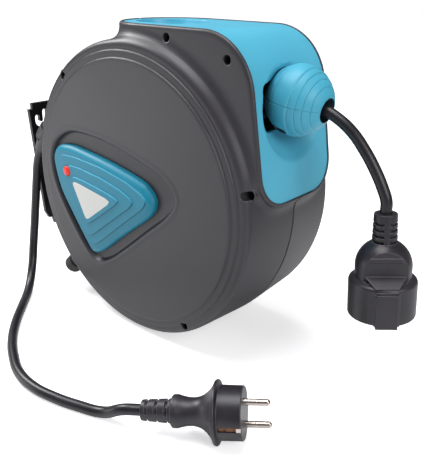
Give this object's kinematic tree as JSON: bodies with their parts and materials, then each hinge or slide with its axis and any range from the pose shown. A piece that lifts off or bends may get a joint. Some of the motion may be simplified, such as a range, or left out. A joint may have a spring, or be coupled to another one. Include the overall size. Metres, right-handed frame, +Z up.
{
  "type": "wall mounted extension cord reel",
  "caption": "Wall-mounted spring-rewind extension cord reel: round two-shell housing, swivel bracket, guide-roller mouth, ball stop, coupler and lead-in plug.",
  "frame": {"origin": "centre of the wall plate's back face, on the wall", "axes": "+X out of the wall towards the mouth, +Y along the drum's axis, away from the badge, +Z up"},
  "size_m": [0.4123, 0.2403, 0.2732],
  "materials": {
    "housing_grey": "fine spark-eroded grey plastic",
    "fascia_blue": "satin turquoise plastic",
    "badge_blue": "satin darker turquoise plastic",
    "ball_blue": "satin turquoise plastic",
    "label_grey": "smooth bare label stock",
    "button_red": "glossy red cap",
    "bracket_black": "black powder coat",
    "steel": "zinc-plated steel",
    "cord_black": "smooth rubber sheath",
    "plug_black": "moulded rubber, slightly satin",
    "insert_black": "moulded thermoset",
    "pin_nickel": "nickel-plated brass",
    "earth_copper": "tinned copper alloy",
    "roller_nylon": "self-lubricating nylon",
    "inner_black": "plain moulded plastic",
    "ring_brass": "turned brass",
    "carbon": "pressed carbon",
    "spring_steel": "blued spring steel",
    "core_red": "laminated insulator",
    "ceramic": "cream terminal block",
    "acetal": "natural acetal",
    "foot_rubber": "soft rubber"
  },
  "bodies": {
    "bracket": {"wall_plate": "bracket_black", "swivel_pin": "steel", "swivel_circlips": "steel"},
    "housing": {"swivel_yoke": "bracket_black", "yoke_screws": "steel", "front_shell": "housing_grey", "rear_shell": "housing_grey", "shell_screws": "steel", "rubber_feet": "foot_rubber", "mouth_fascia": "fascia_blue", "roller_frame": "inner_black", "roller_pins": "steel", "badge_cover": "badge_blue", "label_plate": "label_grey", "reset_spring": "spring_steel", "thermal_cutout": "inner_black", "axle": "steel", "brush_holder": "inner_black", "carbon_brushes": "carbon", "terminal_block": "ceramic", "pawl_pin": "steel", "pawl_spring": "spring_steel", "lead_gland": "plug_black", "lead_cord": "cord_black", "plug_body": "plug_black", "plug_pins": "pin_nickel", "plug_earth_strips": "earth_copper"},
    "upper_guide": {"upper_roller": "roller_nylon"},
    "lower_guide": {"lower_roller": "roller_nylon"},
    "near_guide": {"near_roller": "roller_nylon"},
    "far_guide": {"far_roller": "roller_nylon"},
    "button": {"reset_button": "button_red"},
    "catch": {"pawl": "acetal"},
    "drum": {"spool_hub": "inner_black", "front_flange": "inner_black", "rear_flange": "inner_black", "spool_screws": "steel", "ratchet_ring": "acetal", "slip_ring_core": "core_red", "slip_rings": "ring_brass", "spring_case": "inner_black", "spring_case_cover": "inner_black", "mainspring": "spring_steel", "cord_core": "cord_black", "wound_cord": "cord_black"},
    "outlet": {"inner_cord": "cord_black", "ball_upper": "ball_blue", "ball_lower": "ball_blue", "ball_screws": "steel", "outgoing_cord": "cord_black", "coupler_body": "plug_black", "coupler_insert": "insert_black", "coupler_earth_clips": "earth_copper"}
  },
  "joints": [
    {"name": "housing_swivel", "type": "hinge", "parent": "bracket", "child": "housing", "pos_m": [0.022, 0, 0], "axis": [0, 0, 1], "range_deg": [-30, 30]},
    {"name": "drum_spin", "type": "hinge", "parent": "housing", "child": "drum", "pos_m": [0.172, 0, 0.01], "axis": [0, 1, 0], "range_deg": [0, 60]},
    {"name": "cord_pull", "type": "slide", "parent": "housing", "child": "outlet", "axis": [1, 0, 0], "range_m": [0, 0.0997]},
    {"name": "pawl_drop", "type": "hinge", "parent": "housing", "child": "catch", "pos_m": [0.18494, -0.041, 0.08489], "axis": [0, 1, 0], "range_deg": [0, 17.5]},
    {"name": "reset_press", "type": "slide", "parent": "housing", "child": "button", "axis": [0, 1, 0], "range_m": [0, 0.002], "stiffness_N_per_m": 900, "springref_m": -0.001, "deforming": ["reset_spring"]},
    {"name": "upper_roller_turn", "type": "hinge", "parent": "housing", "child": "upper_guide", "pos_m": [0.256, 0, 0.11535], "axis": [0, 1, 0], "continuous": true},
    {"name": "lower_roller_turn", "type": "hinge", "parent": "housing", "child": "lower_guide", "pos_m": [0.256, 0, 0.09465], "axis": [0, 1, 0], "continuous": true},
    {"name": "near_roller_turn", "type": "hinge", "parent": "housing", "child": "near_guide", "pos_m": [0.2685, -0.01035, 0.105], "axis": [0, 0, 1], "continuous": true},
    {"name": "far_roller_turn", "type": "hinge", "parent": "housing", "child": "far_guide", "pos_m": [0.2685, 0.01035, 0.105], "axis": [0, 0, 1], "continuous": true}
  ],
  "couplings": [
    {"joint": "cord_pull", "follows": "drum_spin", "m_per_rad": 0.095}
  ]
}
